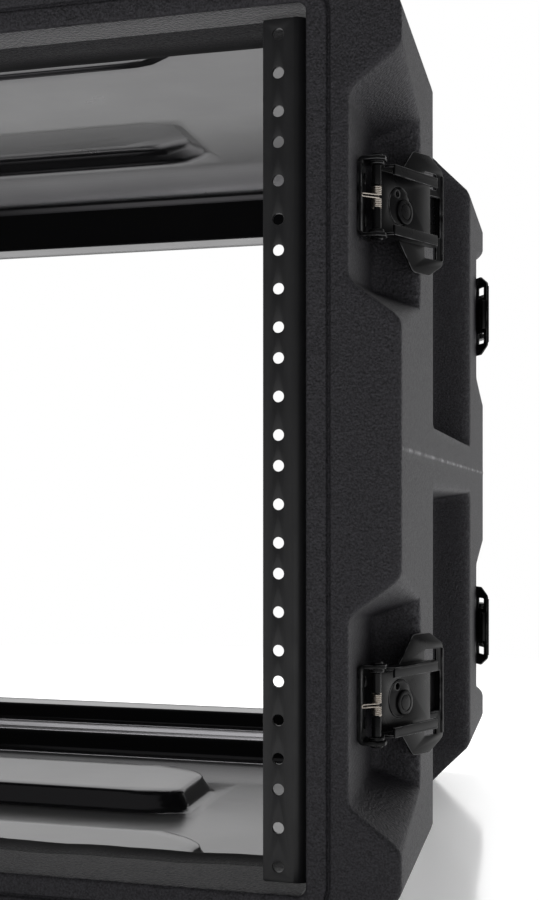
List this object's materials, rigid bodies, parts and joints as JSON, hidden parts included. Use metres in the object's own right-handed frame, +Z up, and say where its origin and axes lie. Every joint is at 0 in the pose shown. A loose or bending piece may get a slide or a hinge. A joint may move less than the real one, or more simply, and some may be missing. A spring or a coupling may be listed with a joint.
{
  "type": "equipment_rack_case",
  "caption": "Moulded rack case body with steel rack rails front and rear, hand recesses at the sides and spring-loaded swing-arm draw latches for lids that are off.",
  "frame": {"origin": "middle of the underside, on the surface that the case stands on", "axes": "+X to the right seen from the front, +Y from the front to the rear, +Z up"},
  "size_m": [0.5874, 0.508, 0.448],
  "materials": {
    "moulded_shell": "pebbled matte outside, smooth satin inside",
    "rail_steel": "satin black powder coat",
    "latch_steel": "satin black powder coat with worn bright edges",
    "spring_wire": "bright drawn wire"
  },
  "bodies": {
    "case": {"shell": "moulded_shell", "front_right_rail": "rail_steel", "front_left_rail": "rail_steel", "rear_right_rail": "rail_steel", "rear_left_rail": "rail_steel", "front_right_upper_latch_base": "latch_steel", "front_right_upper_hinge_pin": "latch_steel", "front_right_upper_torsion_spring": "spring_wire", "front_right_lower_latch_base": "latch_steel", "front_right_lower_hinge_pin": "latch_steel", "front_right_lower_torsion_spring": "spring_wire", "front_left_upper_latch_base": "latch_steel", "front_left_upper_hinge_pin": "latch_steel", "front_left_upper_torsion_spring": "spring_wire", "front_left_lower_latch_base": "latch_steel", "front_left_lower_hinge_pin": "latch_steel", "front_left_lower_torsion_spring": "spring_wire", "rear_right_upper_latch_base": "latch_steel", "rear_right_upper_hinge_pin": "latch_steel", "rear_right_upper_torsion_spring": "spring_wire", "rear_right_lower_latch_base": "latch_steel", "rear_right_lower_hinge_pin": "latch_steel", "rear_right_lower_torsion_spring": "spring_wire", "rear_left_upper_latch_base": "latch_steel", "rear_left_upper_hinge_pin": "latch_steel", "rear_left_upper_torsion_spring": "spring_wire", "rear_left_lower_latch_base": "latch_steel", "rear_left_lower_hinge_pin": "latch_steel", "rear_left_lower_torsion_spring": "spring_wire"},
    "front_right_upper_arm": {"front_right_upper_latch_arm": "latch_steel"},
    "front_right_upper_plate": {"front_right_upper_draw_plate": "latch_steel"},
    "front_right_upper_handle": {"front_right_upper_turn_handle": "latch_steel"},
    "front_right_lower_arm": {"front_right_lower_latch_arm": "latch_steel"},
    "front_right_lower_plate": {"front_right_lower_draw_plate": "latch_steel"},
    "front_right_lower_handle": {"front_right_lower_turn_handle": "latch_steel"},
    "front_left_upper_arm": {"front_left_upper_latch_arm": "latch_steel"},
    "front_left_upper_plate": {"front_left_upper_draw_plate": "latch_steel"},
    "front_left_upper_handle": {"front_left_upper_turn_handle": "latch_steel"},
    "front_left_lower_arm": {"front_left_lower_latch_arm": "latch_steel"},
    "front_left_lower_plate": {"front_left_lower_draw_plate": "latch_steel"},
    "front_left_lower_handle": {"front_left_lower_turn_handle": "latch_steel"},
    "rear_right_upper_arm": {"rear_right_upper_latch_arm": "latch_steel"},
    "rear_right_upper_plate": {"rear_right_upper_draw_plate": "latch_steel"},
    "rear_right_upper_handle": {"rear_right_upper_turn_handle": "latch_steel"},
    "rear_right_lower_arm": {"rear_right_lower_latch_arm": "latch_steel"},
    "rear_right_lower_plate": {"rear_right_lower_draw_plate": "latch_steel"},
    "rear_right_lower_handle": {"rear_right_lower_turn_handle": "latch_steel"},
    "rear_left_upper_arm": {"rear_left_upper_latch_arm": "latch_steel"},
    "rear_left_upper_plate": {"rear_left_upper_draw_plate": "latch_steel"},
    "rear_left_upper_handle": {"rear_left_upper_turn_handle": "latch_steel"},
    "rear_left_lower_arm": {"rear_left_lower_latch_arm": "latch_steel"},
    "rear_left_lower_plate": {"rear_left_lower_draw_plate": "latch_steel"},
    "rear_left_lower_handle": {"rear_left_lower_turn_handle": "latch_steel"}
  },
  "joints": [
    {"name": "front_right_upper_swing", "type": "hinge", "parent": "case", "child": "front_right_upper_arm", "pos_m": [0.2705, -0.226, 0.3245], "axis": [0, 0, -1], "range_deg": [0, 153], "stiffness_Nm_per_rad": 0.02, "springref_deg": -34.38, "deforming": ["front_right_upper_torsion_spring"]},
    {"name": "front_right_upper_turn", "type": "hinge", "parent": "front_right_upper_arm", "child": "front_right_upper_handle", "pos_m": [0.27495, -0.20246, 0.3245], "axis": [0.8914, -0.4532, 0], "range_deg": [0, 180]},
    {"name": "front_right_upper_draw", "type": "slide", "parent": "front_right_upper_arm", "child": "front_right_upper_plate", "axis": [-0.4532, -0.8914, 0], "range_m": [0, 0.0048]},
    {"name": "front_right_lower_swing", "type": "hinge", "parent": "case", "child": "front_right_lower_arm", "pos_m": [0.2705, -0.226, 0.1135], "axis": [0, 0, -1], "range_deg": [0, 153], "stiffness_Nm_per_rad": 0.02, "springref_deg": -34.38, "deforming": ["front_right_lower_torsion_spring"]},
    {"name": "front_right_lower_turn", "type": "hinge", "parent": "front_right_lower_arm", "child": "front_right_lower_handle", "pos_m": [0.27495, -0.20246, 0.1135], "axis": [0.8914, -0.4532, 0], "range_deg": [0, 180]},
    {"name": "front_right_lower_draw", "type": "slide", "parent": "front_right_lower_arm", "child": "front_right_lower_plate", "axis": [-0.4532, -0.8914, 0], "range_m": [0, 0.0048]},
    {"name": "front_left_upper_swing", "type": "hinge", "parent": "case", "child": "front_left_upper_arm", "pos_m": [-0.2705, -0.226, 0.3245], "axis": [0, 0, 1], "range_deg": [0, 153], "stiffness_Nm_per_rad": 0.02, "springref_deg": -34.38, "deforming": ["front_left_upper_torsion_spring"]},
    {"name": "front_left_upper_turn", "type": "hinge", "parent": "front_left_upper_arm", "child": "front_left_upper_handle", "pos_m": [-0.27495, -0.20246, 0.3245], "axis": [-0.8914, -0.4532, 0], "range_deg": [0, 180]},
    {"name": "front_left_upper_draw", "type": "slide", "parent": "front_left_upper_arm", "child": "front_left_upper_plate", "axis": [0.4532, -0.8914, 0], "range_m": [0, 0.0048]},
    {"name": "front_left_lower_swing", "type": "hinge", "parent": "case", "child": "front_left_lower_arm", "pos_m": [-0.2705, -0.226, 0.1135], "axis": [0, 0, 1], "range_deg": [0, 153], "stiffness_Nm_per_rad": 0.02, "springref_deg": -34.38, "deforming": ["front_left_lower_torsion_spring"]},
    {"name": "front_left_lower_turn", "type": "hinge", "parent": "front_left_lower_arm", "child": "front_left_lower_handle", "pos_m": [-0.27495, -0.20246, 0.1135], "axis": [-0.8914, -0.4532, 0], "range_deg": [0, 180]},
    {"name": "front_left_lower_draw", "type": "slide", "parent": "front_left_lower_arm", "child": "front_left_lower_plate", "axis": [0.4532, -0.8914, 0], "range_m": [0, 0.0048]},
    {"name": "rear_right_upper_swing", "type": "hinge", "parent": "case", "child": "rear_right_upper_arm", "pos_m": [0.2705, 0.226, 0.3245], "axis": [0, 0, 1], "range_deg": [0, 153], "stiffness_Nm_per_rad": 0.02, "springref_deg": -34.38, "deforming": ["rear_right_upper_torsion_spring"]},
    {"name": "rear_right_upper_turn", "type": "hinge", "parent": "rear_right_upper_arm", "child": "rear_right_upper_handle", "pos_m": [0.27495, 0.20246, 0.3245], "axis": [0.8914, 0.4532, 0], "range_deg": [0, 180]},
    {"name": "rear_right_upper_draw", "type": "slide", "parent": "rear_right_upper_arm", "child": "rear_right_upper_plate", "axis": [-0.4532, 0.8914, 0], "range_m": [0, 0.0048]},
    {"name": "rear_right_lower_swing", "type": "hinge", "parent": "case", "child": "rear_right_lower_arm", "pos_m": [0.2705, 0.226, 0.1135], "axis": [0, 0, 1], "range_deg": [0, 153], "stiffness_Nm_per_rad": 0.02, "springref_deg": -34.38, "deforming": ["rear_right_lower_torsion_spring"]},
    {"name": "rear_right_lower_turn", "type": "hinge", "parent": "rear_right_lower_arm", "child": "rear_right_lower_handle", "pos_m": [0.27495, 0.20246, 0.1135], "axis": [0.8914, 0.4532, 0], "range_deg": [0, 180]},
    {"name": "rear_right_lower_draw", "type": "slide", "parent": "rear_right_lower_arm", "child": "rear_right_lower_plate", "axis": [-0.4532, 0.8914, 0], "range_m": [0, 0.0048]},
    {"name": "rear_left_upper_swing", "type": "hinge", "parent": "case", "child": "rear_left_upper_arm", "pos_m": [-0.2705, 0.226, 0.3245], "axis": [0, 0, -1], "range_deg": [0, 153], "stiffness_Nm_per_rad": 0.02, "springref_deg": -34.38, "deforming": ["rear_left_upper_torsion_spring"]},
    {"name": "rear_left_upper_turn", "type": "hinge", "parent": "rear_left_upper_arm", "child": "rear_left_upper_handle", "pos_m": [-0.27495, 0.20246, 0.3245], "axis": [-0.8914, 0.4532, 0], "range_deg": [0, 180]},
    {"name": "rear_left_upper_draw", "type": "slide", "parent": "rear_left_upper_arm", "child": "rear_left_upper_plate", "axis": [0.4532, 0.8914, 0], "range_m": [0, 0.0048]},
    {"name": "rear_left_lower_swing", "type": "hinge", "parent": "case", "child": "rear_left_lower_arm", "pos_m": [-0.2705, 0.226, 0.1135], "axis": [0, 0, -1], "range_deg": [0, 153], "stiffness_Nm_per_rad": 0.02, "springref_deg": -34.38, "deforming": ["rear_left_lower_torsion_spring"]},
    {"name": "rear_left_lower_turn", "type": "hinge", "parent": "rear_left_lower_arm", "child": "rear_left_lower_handle", "pos_m": [-0.27495, 0.20246, 0.1135], "axis": [-0.8914, 0.4532, 0], "range_deg": [0, 180]},
    {"name": "rear_left_lower_draw", "type": "slide", "parent": "rear_left_lower_arm", "child": "rear_left_lower_plate", "axis": [0.4532, 0.8914, 0], "range_m": [0, 0.0048]}
  ],
  "couplings": [
    {"joint": "front_right_upper_turn", "follows": "front_right_upper_draw", "rad_per_m": 654.49},
    {"joint": "front_right_lower_turn", "follows": "front_right_lower_draw", "rad_per_m": 654.49},
    {"joint": "front_left_upper_turn", "follows": "front_left_upper_draw", "rad_per_m": 654.49},
    {"joint": "front_left_lower_turn", "follows": "front_left_lower_draw", "rad_per_m": 654.49},
    {"joint": "rear_right_upper_turn", "follows": "rear_right_upper_draw", "rad_per_m": 654.49},
    {"joint": "rear_right_lower_turn", "follows": "rear_right_lower_draw", "rad_per_m": 654.49},
    {"joint": "rear_left_upper_turn", "follows": "rear_left_upper_draw", "rad_per_m": 654.49},
    {"joint": "rear_left_lower_turn", "follows": "rear_left_lower_draw", "rad_per_m": 654.49}
  ]
}
